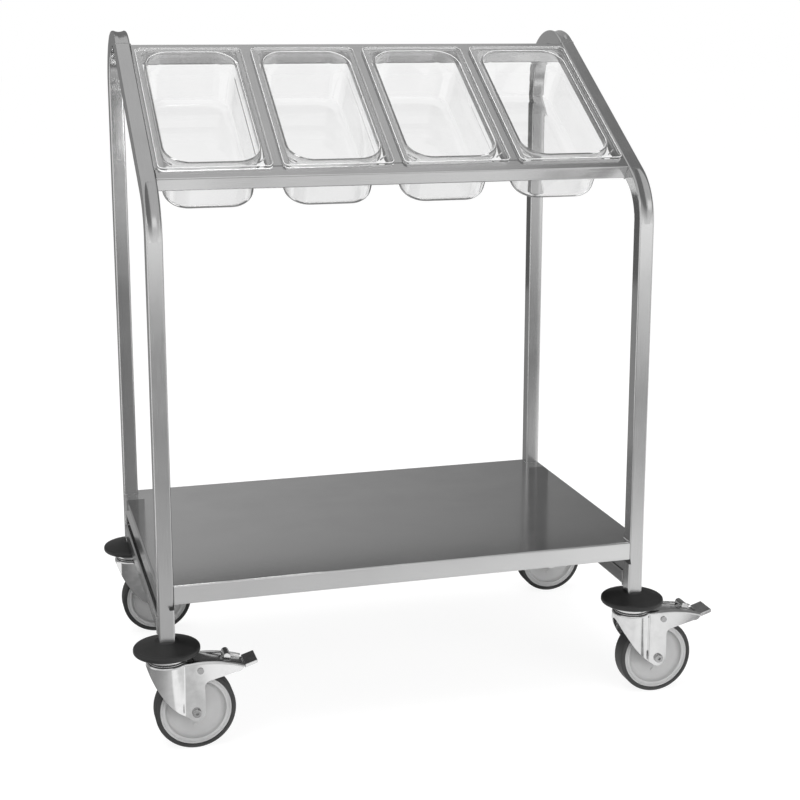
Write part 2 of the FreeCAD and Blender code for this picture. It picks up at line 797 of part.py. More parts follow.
def brake_shoe():
    """A pad under the pedal, hollowed to the tyre, which it meets when the pedal goes down."""
    end = shoe_start + shoe_length
    top = [V(shoe_start, 0, pedal_line(shoe_start) - pedal_sheet), V(end, 0, pedal_line(end) - pedal_sheet)]
    block = plate([V(shoe_start, 0, axle_z), V(end, 0, axle_z), top[1], top[0]], shoe_width / 2)
    return one_solid(block.cut(rod(wheel_radius + shoe_tyre_gap, -fork_inner, fork_inner, trail, axle_z)))


bolts = []
inserts = []
for corner, (sx, sy) in corners.items():
    place = V(sx * leg_x, sy * leg_y, 0)
    braked = corner in brakes
    pieces = {
        "bumper": bumper(),
        "swivel_cap": swivel_cap(),
        "fork": fork(braked),
        "axle_bolt": axle_bolt(),
        "axle_nut": axle_nut(),
        "axle_sleeve": axle_sleeve(),
        "wheel_centre": wheel_centre(),
        "tyre": tyre(),
    }
    if braked:
        pieces["pedal"] = pedal()
        pieces["pedal_pivot"] = pedal_pivot()
        pieces["brake_shoe"] = brake_shoe()
    for name, shape in pieces.items():
        shape.translate(place)
        save(corner + "_" + name, shape)
    for group, shape in ((bolts, castor_bolt()), (inserts, leg_insert())):
        shape.translate(place)
        group.append(shape)

save("castor_bolts", Part.makeCompound(bolts))
save("leg_inserts", Part.makeCompound(inserts))
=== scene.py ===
import json
import math

import bmesh
import bpy
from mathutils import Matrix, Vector


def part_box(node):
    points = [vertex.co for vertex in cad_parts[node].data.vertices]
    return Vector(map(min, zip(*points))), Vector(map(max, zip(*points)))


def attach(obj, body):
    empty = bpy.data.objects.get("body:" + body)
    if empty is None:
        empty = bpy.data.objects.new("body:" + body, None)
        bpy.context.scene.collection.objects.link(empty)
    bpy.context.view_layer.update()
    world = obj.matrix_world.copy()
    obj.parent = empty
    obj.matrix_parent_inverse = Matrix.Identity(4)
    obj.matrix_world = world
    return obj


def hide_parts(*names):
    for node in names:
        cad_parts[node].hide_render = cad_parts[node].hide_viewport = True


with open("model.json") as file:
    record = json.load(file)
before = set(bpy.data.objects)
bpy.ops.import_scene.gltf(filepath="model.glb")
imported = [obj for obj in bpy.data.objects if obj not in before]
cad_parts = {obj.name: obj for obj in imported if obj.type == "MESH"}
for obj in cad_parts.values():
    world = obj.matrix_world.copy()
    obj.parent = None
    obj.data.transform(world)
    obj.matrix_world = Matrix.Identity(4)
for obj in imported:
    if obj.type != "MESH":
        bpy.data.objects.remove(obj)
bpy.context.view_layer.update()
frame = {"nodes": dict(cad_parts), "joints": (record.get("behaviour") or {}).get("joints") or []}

# Side frames
# Each side is two lengths of square stainless tube, bent and welded end to end below the top bend,
# then polished to a satin finish whose grain runs along the tube and round its bends.
nodes = frame["nodes"]
joints = {joint["name"]: joint for joint in frame["joints"]}
slope_normal = Vector(joints["pan_1_lift"]["axis"])
slope_up = Vector((0, slope_normal.z, -slope_normal.y))
bend_outer = 0.0995
tube_size = 0.025
satin_tone = 0.56
satin_smooth = 0.13
satin_rough = 0.24
satin_bump = 0.06
satin_relief = 0.0002
streak_detail = 2.0
mark_detail = 3.0
streak_share = 0.55
grain_range = (0.34, 0.66)


def reach(node, direction):
    """The least and the greatest place of a piece along a direction."""
    places = [vertex.co.dot(direction) for vertex in nodes[node].data.vertices]
    return min(places), max(places)


def feed(tree, socket, value):
    """Give a socket a plain value or another node's output."""
    if isinstance(value, bpy.types.NodeSocket):
        tree.links.new(value, socket)
    else:
        socket.default_value = value


def put(tree, kind, inputs=(), **settings):
    """Add a node with its settings and inputs."""
    made = tree.nodes.new(kind)
    for name, value in settings.items():
        setattr(made, name, value)
    for key, value in dict(inputs).items():
        feed(tree, made.inputs[key], value)
    return made


def maths(tree, operation, *values):
    """The result of one sum on plain values and outputs."""
    return put(tree, "ShaderNodeMath", enumerate(values), operation=operation).outputs[0]


def spread(tree, value, low, high, to_low, to_high):
    """Carry a value from one range to another and hold it inside."""
    inputs = {"Value": value, "From Min": low, "From Max": high, "To Min": to_low, "To Max": to_high}
    return put(tree, "ShaderNodeMapRange", inputs).outputs["Result"]


def noise(tree, place, scale, detail):
    """Soft clouds at a place."""
    inputs = {"Vector": place, "Scale": scale, "Detail": detail}
    return put(tree, "ShaderNodeTexNoise", inputs).outputs["Fac"]


def grey(tree, value):
    """A grey of a varying brightness."""
    return put(tree, "ShaderNodeCombineColor", {"Red": value, "Green": value, "Blue": value}).outputs[0]


def new_group(name, inputs, outputs):
    """A shader group with named sockets, and its own input and output ends."""
    group = bpy.data.node_groups.new(name, "ShaderNodeTree")
    for label, value in inputs.items():
        kind = "NodeSocketFloat" if isinstance(value, float) else "NodeSocketVector"
        group.interface.new_socket(label, in_out="INPUT", socket_type=kind).default_value = value
    for label, kind in outputs.items():
        group.interface.new_socket(label, in_out="OUTPUT", socket_type=kind)
    given = group.nodes.new("NodeGroupInput").outputs
    return group, given, group.nodes.new("NodeGroupOutput").inputs


surface_sockets = {"Color": "NodeSocketColor", "Roughness": "NodeSocketFloat", "Height": "NodeSocketFloat"}


def toned(group, given, pattern, pattern_range):
    """A grey that a pattern takes from a little under the tone to a little over it."""
    darker = maths(group, "SUBTRACT", given["Tone"], given["Tone Spread"])
    lighter = maths(group, "ADD", given["Tone"], given["Tone Spread"])
    return grey(group, spread(group, pattern, *pattern_range, darker, lighter))


def satin_grain_group():
    """Polishing streaks along Z, over slow wiping marks."""
    inputs = {"Place": (0.0, 0.0, 0.0), "Tone": 0.6, "Tone Spread": 0.04, "Smooth": 0.2, "Rough": 0.3,
              "Streak Width": 0.0005, "Streak Length": 0.05, "Mark Size": 0.09}
    group, given, gives = new_group("satin grain", inputs, surface_sockets)
    finer = maths(group, "DIVIDE", 1.0, given["Streak Width"])
    longer = maths(group, "DIVIDE", 1.0, given["Streak Length"])
    stretch = put(group, "ShaderNodeCombineXYZ", {"X": finer, "Y": finer, "Z": longer}).outputs[0]
    scaled = {0: given["Place"], 1: stretch}
    drawn = put(group, "ShaderNodeVectorMath", scaled, operation="MULTIPLY").outputs[0]
    streaks = noise(group, drawn, 1.0, streak_detail)
    marks = noise(group, given["Place"], maths(group, "DIVIDE", 1.0, given["Mark Size"]), mark_detail)
    from_streaks = maths(group, "MULTIPLY", streaks, streak_share)
    from_marks = maths(group, "MULTIPLY", marks, 1 - streak_share)
    mixed = maths(group, "ADD", from_streaks, from_marks)
    feed(group, gives["Roughness"], spread(group, mixed, *grain_range, given["Smooth"], given["Rough"]))
    feed(group, gives["Color"], toned(group, given, mixed, grain_range))
    feed(group, gives["Height"], streaks)
    return group


satin_grain = satin_grain_group()


def surface(name, group, place_of, values, metallic, bump, relief_depth):
    """A material whose colour, roughness and fine relief come from a shared group."""
    material = bpy.data.materials.new(name)
    material.use_nodes = True
    tree = material.node_tree
    place = place_of(tree, put(tree, "ShaderNodeTexCoord").outputs["Object"])
    skin = put(tree, "ShaderNodeGroup", node_tree=group)
    for key, value in {"Place": place, **values}.items():
        feed(tree, skin.inputs[key], value)
    relief = {"Strength": bump, "Distance": relief_depth, "Height": skin.outputs["Height"]}
    shader = tree.nodes["Principled BSDF"]
    shader.inputs["Metallic"].default_value = metallic
    feed(tree, shader.inputs["Base Color"], skin.outputs["Color"])
    feed(tree, shader.inputs["Roughness"], skin.outputs["Roughness"])
    feed(tree, shader.inputs["Normal"], put(tree, "ShaderNodeBump", relief).outputs["Normal"])
    return material


def steel(name, place_of, tone, smooth, rough):
    """Polished stainless with its grain along the run that place_of gives."""
    values = {"Tone": tone, "Smooth": smooth, "Rough": rough}
    return surface(name, satin_grain, place_of, values, 1.0, satin_bump, satin_relief)


def finish(node, material):
    """Give a CAD piece its material."""
    slots = nodes[node].data.materials
    slots.clear()
    slots.append(material)


front_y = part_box("left_front_tube")[0].y
back_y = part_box("left_back_tube")[1].y
tube_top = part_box("left_back_tube")[1].z
slope_face = reach("front_rail", slope_normal)[1]
slope_turn = math.acos(slope_normal.z)
front_turn = math.pi / 2 - slope_turn
# A smooth minimum cuts a corner by a sixth of its blend, so the blend is six times the depth of the bend.
blend_per_depth = 6
front_blend = blend_per_depth * bend_outer * (1 - math.cos(front_turn / 2))
run_from_y = 0.5


def along_tube(tree, parts, across):
    """Join the place across a bent tube with a place that runs on along it."""
    run = maths(tree, "ADD", parts["Z"], maths(tree, "MULTIPLY", parts["Y"], run_from_y))
    return put(tree, "ShaderNodeCombineXYZ", {"X": parts["X"], "Y": across, "Z": run}).outputs[0]


def along_front_tube(tree, place):
    """The grain's place on a front tube: up the leg, round the bend and up the slope."""
    parts = put(tree, "ShaderNodeSeparateXYZ", {0: place}).outputs
    pair = {0: place, 1: slope_normal}
    height = put(tree, "ShaderNodeVectorMath", pair, operation="DOT_PRODUCT").outputs["Value"]
    in_leg = maths(tree, "SUBTRACT", parts["Y"], front_y)
    in_slope = maths(tree, "SUBTRACT", slope_face, height)
    return along_tube(tree, parts, maths(tree, "SMOOTH_MIN", in_leg, in_slope, front_blend))


def along_back_tube(tree, place):
    """The grain's place on a back tube: up the leg and over the top bend."""
    parts = put(tree, "ShaderNodeSeparateXYZ", {0: place}).outputs
    out = maths(tree, "SUBTRACT", parts["Y"], back_y - bend_outer)
    rise = maths(tree, "MAXIMUM", maths(tree, "SUBTRACT", parts["Z"], tube_top - bend_outer), 0.0)
    swing = maths(tree, "ADD", maths(tree, "MULTIPLY", out, out), maths(tree, "MULTIPLY", rise, rise))
    return along_tube(tree, parts, maths(tree, "SUBTRACT", bend_outer, maths(tree, "SQRT", swing)))


front_tube_steel = steel("front tube satin", along_front_tube, satin_tone, satin_smooth, satin_rough)
back_tube_steel = steel("back tube satin", along_back_tube, satin_tone, satin_smooth, satin_rough)
for side in ("left", "right"):
    finish(side + "_front_tube", front_tube_steel)
    finish(side + "_back_tube", back_tube_steel)

# Cross rails, dividers, ledges and side rails
# Two lengths of the same tube cross the slope, with folded bars between them under the rims of the pans.
# A rail each side ties the legs together under the shelf.


def along(direction):
    """The grain's place on a straight piece, turned so that its length lies along Z."""
    turn = direction.rotation_difference(Vector((0, 0, 1))).to_euler()

    def place_of(tree, place):
        return put(tree, "ShaderNodeMapping", {"Vector": place, "Rotation": turn}).outputs[0]

    return place_of


x_way = Vector((1, 0, 0))
y_way = Vector((0, 1, 0))
z_way = Vector((0, 0, 1))
rail_steel = steel("cross rail satin", along(x_way), satin_tone, satin_smooth, satin_rough)
bar_steel = steel("slope bar satin", along(slope_up), satin_tone, satin_smooth, satin_rough)
side_rail_steel = steel("side rail satin", along(y_way), satin_tone, satin_smooth, satin_rough)
dividers = sorted(name for name in nodes if name.startswith("divider_"))
ledges = ["left_ledge", "right_ledge"]
for name in ("front_rail", "back_rail"):
    finish(name, rail_steel)
for name in dividers + ledges:
    finish(name, bar_steel)
for name in ("left_side_rail", "right_side_rail"):
    finish(name, side_rail_steel)

# Shelf
# One sheet of the same stainless with its four edges turned down, notched round the legs. Its top is
# polished brighter than the tube, so it mirrors what stands over it.
shelf_tone = 0.66
shelf_smooth = 0.10
shelf_rough = 0.19
shelf_steel = steel("shelf polish", along(x_way), shelf_tone, shelf_smooth, shelf_rough)
finish("shelf", shelf_steel)
shelf_low, shelf_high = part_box("shelf")

# Welds
# The tubes are joined by small ripple welds: round the rails' ends, round the seam near the top bend and
# along the shelf's notches. They are steel, a little duller than the tube.
bead_radius = 0.0013
bead_pitch = 0.0011
bead_sunk = 0.0008
bead_divisions = 1
notch_run = 0.75
weld_tone = 0.50
weld_smooth = 0.28
weld_rough = 0.42
weld_steel = steel("weld bead", along(z_way), weld_tone, weld_smooth, weld_rough)


def weld_tree():
    """Ripples set one over the next along each seam."""
    tree = bpy.data.node_groups.new("weld ripples", "GeometryNodeTree")
    sizes = {}
    tree.interface.new_socket("Seams", in_out="INPUT", socket_type="NodeSocketGeometry")
    for label, value in (("Bead Radius", bead_radius), ("Pitch", bead_pitch)):
        socket = tree.interface.new_socket(label, in_out="INPUT", socket_type="NodeSocketFloat")
        sizes[socket.identifier] = value
    tree.interface.new_socket("Beads", in_out="OUTPUT", socket_type="NodeSocketGeometry")
    given = tree.nodes.new("NodeGroupInput").outputs
    along_seams = {"Curve": given["Seams"], "Length": given["Pitch"]}
    steps = put(tree, "GeometryNodeCurveToPoints", along_seams, mode="LENGTH")
    ball_sizes = {"Radius": given["Bead Radius"], "Subdivisions": bead_divisions}
    ball = put(tree, "GeometryNodeMeshIcoSphere", ball_sizes)
    beads = put(tree, "GeometryNodeInstanceOnPoints", {
        "Points": steps.outputs["Points"],
        "Instance": ball.outputs["Mesh"],
        "Rotation": steps.outputs["Rotation"],
    })
    smooth = put(tree, "GeometryNodeSetShadeSmooth", {"Geometry": beads.outputs["Instances"]})
    solid = put(tree, "GeometryNodeRealizeInstances", {"Geometry": smooth.outputs["Geometry"]})
    dressing = {"Geometry": solid.outputs["Geometry"], "Material": weld_steel}
    dressed = put(tree, "GeometryNodeSetMaterial", dressing)
    feed(tree, tree.nodes.new("NodeGroupOutput").inputs["Beads"], dressed.outputs["Geometry"])
    return tree, sizes


def new_piece(name, mesh, *materials):
    """A finished mesh as an object at the origin."""
    for material in materials:
        mesh.materials.append(material)
    piece = bpy.data.objects.new(name, mesh)
    bpy.context.scene.collection.objects.link(piece)
    return piece


def baked(curve_object, tree, sizes):
    """The plain mesh that a tree makes from a curve."""
    modifier = curve_object.modifiers.new("nodes", "NODES")
    modifier.node_group = tree
    for identifier, value in sizes.items():
        modifier[identifier] = value
    bpy.context.view_layer.update()
    evaluated = curve_object.evaluated_get(bpy.context.evaluated_depsgraph_get())
    mesh = bpy.data.meshes.new_from_object(evaluated)
    mesh.materials.clear()
    bpy.data.objects.remove(curve_object)
    return mesh


def on_slope(x, s, n):
    """A place given across the trolley, up the slope and out of it."""
    return Vector((x, 0, 0)) + slope_up * s + slope_normal * n


def rail_seams(rail):
    """Down the outer face and along the underside at both ends of a cross rail."""
    low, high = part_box(rail)
    near, far = reach(rail, slope_up)
    under, over = reach(rail, slope_normal)
    outer, inner = (near, far) if rail == "front_rail" else (far, near)
    section = [(outer, over), (outer, under), (inner, under)]
    return [[on_slope(x, s, n) for s, n in section] for x in (low.x, high.x)]


def side_rail_seams(rail):
    """Round both ends of a side rail, where it meets the legs."""
    low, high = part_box(rail)
    section = [(low.x, low.z), (high.x, low.z), (high.x, high.z), (low.x, high.z), (low.x, low.z)]
    return [[Vector((x, y, z)) for x, z in section] for y in (low.y, high.y)]


def tube_seam(side):
    """Round the slope where its two tubes meet, sunk so that only the crown of the bead stands out."""
    low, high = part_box(side + "_front_tube")
    s = reach(side + "_front_tube", slope_up)[1]
    left = low.x + bead_sunk
    right = high.x - bead_sunk
    top = slope_face - bead_sunk
    bottom = slope_face - tube_size + bead_sunk
    section = [(left, bottom), (left, top), (right, top), (right, bottom), (left, bottom)]
    return [on_slope(x, s, n) for x, n in section]


def notch_seam(leg_x, leg_y):
    """Along the two edges of the shelf's notch at one leg, stopping short of the shelf's own edge."""
    out_x = math.copysign(tube_size / 2, leg_x - (shelf_low.x + shelf_high.x) / 2)
    out_y = math.copysign(tube_size / 2, leg_y)
    inner_x = leg_x - out_x
    inner_y = leg_y - out_y
    height = shelf_high.z - bead_sunk
    ends = (leg_x + out_x * notch_run, leg_y + out_y * notch_run)
    run = [(inner_x, ends[1]), (inner_x, inner_y), (ends[0], inner_y)]
    return [Vector((x, y, height)) for x, y in run]


seams = rail_seams("front_rail") + rail_seams("back_rail")
for side in ("left", "right"):
    seams += side_rail_seams(side + "_side_rail")
    seams.append(tube_seam(side))
    low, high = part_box(side + "_side_rail")
    middle_x = (low.x + high.x) / 2
    seams.append(notch_seam(middle_x, front_y + tube_size / 2))
    seams.append(notch_seam(middle_x, back_y - tube_size / 2))


def seam_curve():
    """All the seams as straight runs in one curve."""
    curve = bpy.data.curves.new("seams", "CURVE")
    curve.dimensions = "3D"
    for seam in seams:
        run = curve.splines.new("POLY")
        run.points.add(len(seam) - 1)
        for point, place in zip(run.points, seam):
            point.co = (*place, 1)
    made = bpy.data.objects.new("seams", curve)
    bpy.context.scene.collection.objects.link(made)
    return made


weld_nodes, weld_sizes = weld_tree()
welds = new_piece("frame_welds", baked(seam_curve(), weld_nodes, weld_sizes), weld_steel)
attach(welds, "trolley")

# Pans
# Four clear moulded pans that lift out, each hung by a flange with a short skirt. Strips round the rim's
# edges, the skirt's foot and the mouth's lip are worn milky by scuffing, and they also stand as painted
# highlight lines. Below the rounded mouth a shoulder runs round the wall, and a small rib crosses each
# corner under the flange.
pan_flange = 0.012
pan_wall = 0.003
pan_rim_corner = 0.009
pan_mouth_corner = 0.041
pan_corner_draw = 0.0025
pan_taper = 0.005
pan_floor_round = 0.014
pan_lip = 0.0025
pan_edge = 0.0015
pan_foot = 0.0006
pan_root = 0.0010
pan_ease = 0.004
pan_shoulder = 0.024
shoulder_step = 0.0022
shoulder_drop = 0.0045
shoulder_rows = 6
seat_gap = 0.0003
corner_steps = 10
floor_steps = 6
edge_steps = 4
root_steps = 2
inner_wall_shares = (0.85, 0.50)
inner_top_share = 0.10
outer_top_share = 0.12
outer_wall_shares = (0.50, 0.84)
# Strips part way round the rim's edges, the lip and the skirt's foot take the milky scuff material, which
# stands as painted highlight lines as well as wear.
edge_highlit_scuff_start = 0.1
lip_highlit_scuff_start = 0.5
highlit_scuff_end = 0.9
rib_inset = 0.016
rib_length = 0.017
rib_thickness = 0.0014
rib_depth = 0.0022
pan_gap_to_rib = 0.00005
pan_tone = 0.91
pan_tone_spread = 0.012
pan_cloud = 0.05
pan_ripple = 0.03
pan_bump = 0.01
pan_relief = 0.0001
pan_ior = 1.45
pan_gloss = 0.3
pan_gloss_ior = 1.58
clear_passing = 1.0
clear_haze = (0.01, 0.04)
# The milky scuff material lets less light in and is hazier, so the edge strips show as painted highlight
# lines.
scuffed_passing = 0.3
scuffed_haze = (0.2, 0.4)
grain_detail = 2.0
cloud_detail = 4.0
cloud_rough_range = (0.32, 0.68)
cloud_tone_range = (0.30, 0.70)


def moulded_skin_group():
    """Fine moulding grain and slow clouds of wear."""
    inputs = {"Place": (0.0, 0.0, 0.0), "Tone": 0.5, "Tone Spread": 0.02, "Smooth": 0.4, "Rough": 0.5,
              "Grain Size": 0.0006, "Cloud Size": 0.03}
    group, given, gives = new_group("moulded skin", inputs, surface_sockets)
    grain = noise(group, given["Place"], maths(group, "DIVIDE", 1.0, given["Grain Size"]), grain_detail)
    clouds = noise(group, given["Place"], maths(group, "DIVIDE", 1.0, given["Cloud Size"]), cloud_detail)
    roughness = spread(group, clouds, *cloud_rough_range, given["Smooth"], given["Rough"])
    feed(group, gives["Roughness"], roughness)
    feed(group, gives["Color"], toned(group, given, clouds, cloud_tone_range))
    feed(group, gives["Height"], grain)
    return group


moulded_skin = moulded_skin_group()


def as_it_is(tree, place):
    """The object's own place, for a pattern with no run."""
    return place


def moulded(name, values, metallic, bump, relief_depth):
    """A material whose grain and wear have no run."""
    return surface(name, moulded_skin, as_it_is, values, metallic, bump, relief_depth)


def clear_plastic(name, passing, haze):
    """Clear polycarbonate with a faint haze, which lets a share of the light in. Lamps pass through it, and
    so does light that has been turned back inside it, which keeps the edges from going black."""
    smooth, rough = haze
    values = {"Tone": pan_tone, "Tone Spread": pan_tone_spread, "Smooth": smooth, "Rough": rough,
              "Cloud Size": pan_cloud, "Grain Size": pan_ripple}
    material = moulded(name, values, 0.0, pan_bump, pan_relief)
    tree = material.node_tree
    shader = tree.nodes["Principled BSDF"]
    shader.inputs["Transmission Weight"].default_value = passing
    shader.inputs["IOR"].default_value = pan_ior
    shader.inputs["Coat Weight"].default_value = pan_gloss
    shader.inputs["Coat IOR"].default_value = pan_gloss_ior
    ray = put(tree, "ShaderNodeLightPath").outputs
    caught = maths(tree, "MINIMUM", ray["Glossy Depth"], ray["Transmission Depth"])
    turned_back = maths(tree, "GREATER_THAN", caught, 0.5)
    passes = maths(tree, "MAXIMUM", ray["Is Shadow Ray"], turned_back)
    open_way = put(tree, "ShaderNodeBsdfTransparent").outputs[0]
    mixed = put(tree, "ShaderNodeMixShader", {0: passes, 1: shader.outputs[0], 2: open_way})
    feed(tree, tree.nodes["Material Output"].inputs["Surface"], mixed.outputs[0])
    return material


corner_ways = ((1, 1), (-1, 1), (-1, -1), (1, -1))


def ring(half_x, half_y, radius):
    """Points round a rectangle with round corners, with one near each end of a straight."""
    points = []
    for corner, (way_x, way_y) in enumerate(corner_ways):
        centre = Vector((way_x * (half_x - radius), way_y * (half_y - radius)))
        turns = [math.pi / 2 * (corner + step / corner_steps) for step in range(corner_steps + 1)]
        arc = [centre + Vector((math.cos(turn), math.sin(turn))) * radius for turn in turns]
        before = Vector((math.sin(turns[0]), -math.cos(turns[0]))) * pan_ease
        after = Vector((-math.sin(turns[-1]), math.cos(turns[-1]))) * pan_ease
        points += [arc[0] + before] + arc + [arc[-1] + after]
    return points


def quarter(steps):
    """Sines and cosines of even steps over a right angle."""
    turns = [math.pi / 2 * step / steps for step in range(steps + 1)]
    return [(math.sin(turn), math.cos(turn)) for turn in turns]


def pan_section(skirt, depth):
    """The pan's wall from the middle of the inner floor, over the rim, to the middle of the outer floor.
    Each row is the inset from the rim's outer edge, the height, the corner radius, and whether the strip
    from it to the next row takes the milky scuff material, which is worn edge and painted highlight line."""
    rows = []
    outer_shoulder = pan_shoulder + shoulder_step

    def drawn_in(deep, shoulder, bottom):
        """How far a wall has come in: a soft step at the shoulder, then an even draw to the bottom."""
        passed = min(max((deep - shoulder) / shoulder_drop + 0.5, 0.0), 1.0)
        draw = max(deep - shoulder, 0.0) / (bottom - shoulder)
        return shoulder_step * passed * passed * (3 - 2 * passed) + (pan_taper - shoulder_step) * draw

    def inner_wall(height):
        return pan_flange + pan_wall + drawn_in(-height, pan_shoulder, depth - pan_wall)

    def outer_wall(height):
        return pan_flange + drawn_in(-height, outer_shoulder, depth)

    def corner(inset, height):
        return pan_mouth_corner + pan_flange - inset + (pan_taper - pan_corner_draw) * -height / depth

    def add(inset, height, radius=None, scuffed=False):
        rows.append((inset, height, corner(inset, height) if radius is None else radius, scuffed))

    def down_shoulder(shoulder):
        return [-shoulder - shoulder_drop * (k / shoulder_rows - 0.5) for k in range(shoulder_rows + 1)]

    inner_round = pan_floor_round - pan_wall
    floor = pan_wall - depth
    add(inner_wall(floor) + inner_round + pan_ease, floor)
    for sine, cosine in quarter(floor_steps):
        height = floor + inner_round * (1 - cosine)
        add(inner_wall(height) + inner_round * (1 - sine), height)
    up_inside = [-depth * share for share in inner_wall_shares] + down_shoulder(pan_shoulder)[::-1]
    for height in up_inside + [-depth * inner_top_share]:
        add(inner_wall(height), height)
    # Part way round the lip, the rim's edge and the skirt's foot, the strips are marked for the milky scuff
    # material, a painted highlight line.
    for sine, cosine in quarter(edge_steps):
        inset = inner_wall(-pan_lip) - pan_lip * (1 - cosine)
        add(inset, -pan_lip * (1 - sine), None, lip_highlit_scuff_start < sine < highlit_scuff_end)
    add(pan_flange - pan_root, 0.0)
    add(pan_edge + pan_root, 0.0, pan_rim_corner - pan_edge - pan_root)
    for sine, cosine in quarter(edge_steps):
        inset = pan_edge * (1 - sine)
        scuffed = edge_highlit_scuff_start < sine < highlit_scuff_end
        add(inset, -pan_edge * (1 - cosine), pan_rim_corner - inset, scuffed)
    for sine, cosine in quarter(root_steps):
        inset = pan_foot * (1 - cosine)
        add(inset, -skirt + pan_foot * (1 - sine), pan_rim_corner - inset, sine < highlit_scuff_end)
    for sine, cosine in quarter(root_steps):
        inset = pan_wall - pan_foot * (1 - sine)
        add(inset, -skirt + pan_foot * (1 - cosine), pan_rim_corner - inset)
    for sine, cosine in quarter(root_steps):
        inset = pan_wall + pan_root * (1 - cosine)
        add(inset, -pan_wall - pan_root * (1 - sine), pan_rim_corner - inset)
    for sine, cosine in quarter(root_steps):
        height = -pan_wall - pan_root * (1 - cosine)
        add(outer_wall(height) - pan_root * (1 - sine), height)
    down_outside = down_shoulder(outer_shoulder) + [-depth * share for share in outer_wall_shares]
    for height in [-depth * outer_top_share] + down_outside:
        add(outer_wall(height), height)
    for sine, cosine in reversed(quarter(floor_steps)):
        height = -depth + pan_floor_round * (1 - cosine)
        add(outer_wall(height) + pan_floor_round * (1 - sine), height)
    add(outer_wall(-depth) + pan_floor_round + pan_ease, -depth)
    return rows


def pan_rib(half_x, half_y, way_x, way_y):
    """Eight corners of the rib across one corner, as places across the pan, up it and under its top."""
    middle = Vector((way_x * (half_x - rib_inset), way_y * (half_y - rib_inset)))
    run = Vector((way_x, -way_y)).normalized() * rib_length / 2
    thick = Vector((way_x, way_y)).normalized() * rib_thickness / 2
    top = -pan_wall - pan_gap_to_rib
    corners = []
    for height in (top, top - rib_depth):
        for a, b in ((-1, -1), (1, -1), (1, 1), (-1, 1)):
            place = middle + run * a + thick * b
            corners.append((place.x, place.y, height))
    return corners


box_faces = ((0, 1, 2, 3), (7, 6, 5, 4), (4, 5, 1, 0), (5, 6, 2, 1), (6, 7, 3, 2), (7, 4, 0, 3))


def pan_mesh(node):
    """One pan, sized from the solid that it stands for."""
    low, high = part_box(node)
    near, far = reach(node, slope_up)
    under, top = reach(node, slope_normal)
    half_x = (high.x - low.x) / 2
    half_y = (far - near) / 2
    middle = ((low.x + high.x) / 2, (near + far) / 2)
    work = bmesh.new()

    def vertex(x, s, height):
        return work.verts.new(on_slope(middle[0] + x, middle[1] + s, top + height))

    rings = []
    highlit_scuff_rows = []
    for inset, height, radius, scuffed in pan_section(top - slope_face - seat_gap, top - under):
        rings.append([vertex(p.x, p.y, height) for p in ring(half_x - inset, half_y - inset, radius)])
        highlit_scuff_rows.append(int(scuffed))
    for first, second, scuffed in zip(rings, rings[1:], highlit_scuff_rows):
        for k in range(len(first)):
            following = (k + 1) % len(first)
            face = work.faces.new((first[k], first[following], second[following], second[k]))
            # Marked strips take the second, milky scuff material, which paints a highlight line along them.
            face.material_index = scuffed
    work.faces.new(rings[0][::-1])
    work.faces.new(rings[-1])
    for way_x, way_y in corner_ways:
        rib = [vertex(*place) for place in pan_rib(half_x, half_y, way_x, way_y)]
        for face in box_faces:
            work.faces.new([rib[k] for k in face])
    bmesh.ops.recalc_face_normals(work, faces=work.faces)
    for face in work.faces:
        face.smooth = len(face.verts) == 4
    mesh = bpy.data.meshes.new(node + "_clear")
    work.to_mesh(mesh)
    work.free()
    return mesh


pan_clear = clear_plastic("clear pan", clear_passing, clear_haze)
# Milky scuff plastic for the edge strips, worn edges that also paint their highlight lines.
pan_scuffed = clear_plastic("scuffed pan edge", scuffed_passing, scuffed_haze)
pans = sorted(name for name in nodes if name.startswith("pan_"))
for name in pans:
    piece = new_piece(name + "_clear", pan_mesh(name), pan_clear, pan_scuffed)
    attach(piece, name)
    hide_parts(name)

# Castor bumpers and swivels
# A black rubber disc is clamped between each leg and its castor. Under it the fixed half of the swivel is
# a bright zinc-plated cap, held by a bolt up into a plug in the leg.
corners = ("front_left", "front_right", "back_left", "back_right")
zinc_tone = 0.70
zinc_bump = 0.04
fine_relief = 0.0001
rubber_relief = 0.0002
bumper_skin = {"Tone": 0.014, "Tone Spread": 0.004, "Smooth": 0.42, "Rough": 0.58, "Grain Size": 0.0008}
bumper_bump = 0.10
bumper_rubber = moulded("bumper rubber", bumper_skin, 0.0, bumper_bump, rubber_relief)
bright_skin = {"Tone": zinc_tone, "Tone Spread": 0.03, "Smooth": 0.14, "Rough": 0.24, "Cloud Size": 0.02}
bright_zinc = moulded("bright zinc", bright_skin, 1.0, zinc_bump, fine_relief)
for corner in corners:
    finish(corner + "_bumper", bumper_rubber)
    finish(corner + "_swivel_cap", bright_zinc)
finish("castor_bolts", bright_zinc)
finish("leg_inserts", bright_zinc)

# Castor forks
# Each fork is one pressing of zinc-plated sheet: a flat top, a round back and two sides drawn down to the
# axle. The front pair run on behind the wheel as horns for the foot brake.
fork_skin = {"Tone": zinc_tone, "Tone Spread": 0.035, "Smooth": 0.10, "Rough": 0.18, "Cloud Size": 0.012,
             "Grain Size": 0.0009}
fork_bump = 0.06
fork_zinc = moulded("pressed zinc", fork_skin, 1.0, fork_bump, fine_relief)
dull_skin = {"Tone": 0.42, "Tone Spread": 0.04, "Smooth": 0.16, "Rough": 0.30, "Cloud Size": 0.004}
dull_zinc = moulded("dull zinc", dull_skin, 1.0, zinc_bump, fine_relief)
for corner in corners:
    finish(corner + "_fork", fork_zinc)
    for part in ("axle_bolt", "axle_nut", "axle_sleeve"):
        finish(corner + "_" + part, dull_zinc)

